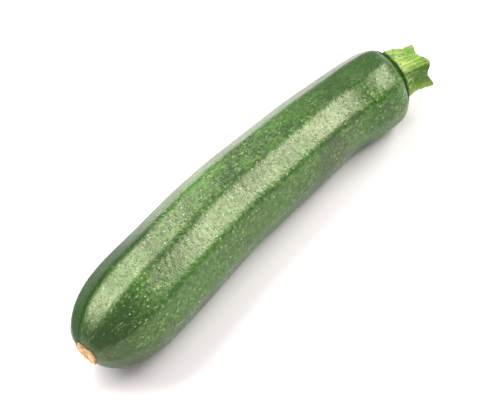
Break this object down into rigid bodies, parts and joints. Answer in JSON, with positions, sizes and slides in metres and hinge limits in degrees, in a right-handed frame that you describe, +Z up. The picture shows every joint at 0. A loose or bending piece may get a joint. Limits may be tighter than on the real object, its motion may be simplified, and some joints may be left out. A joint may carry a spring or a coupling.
{
  "type": "zucchini",
  "caption": "Whole dark green zucchini lying down, slightly bent, with soft ribs, a short fluted stem stub and a tan blossom scar.",
  "frame": {"origin": "middle of the fruit's box, at the height of the surface it lies on", "axes": "+X along the fruit towards the stem, +Z up off the surface, the fruit's middle bends towards +Y"},
  "size_m": [0.2046, 0.045, 0.0399],
  "materials": {
    "skin": "waxy, glossy, green with fine pale flecks and short streaks",
    "stem": "satin, light green with deeper green flutes, cut face pale cream",
    "scar": "dry, corky, tan with a brown rim"
  },
  "bodies": {
    "root": {"zucchini": "skin"}
  },
  "joints": []
}
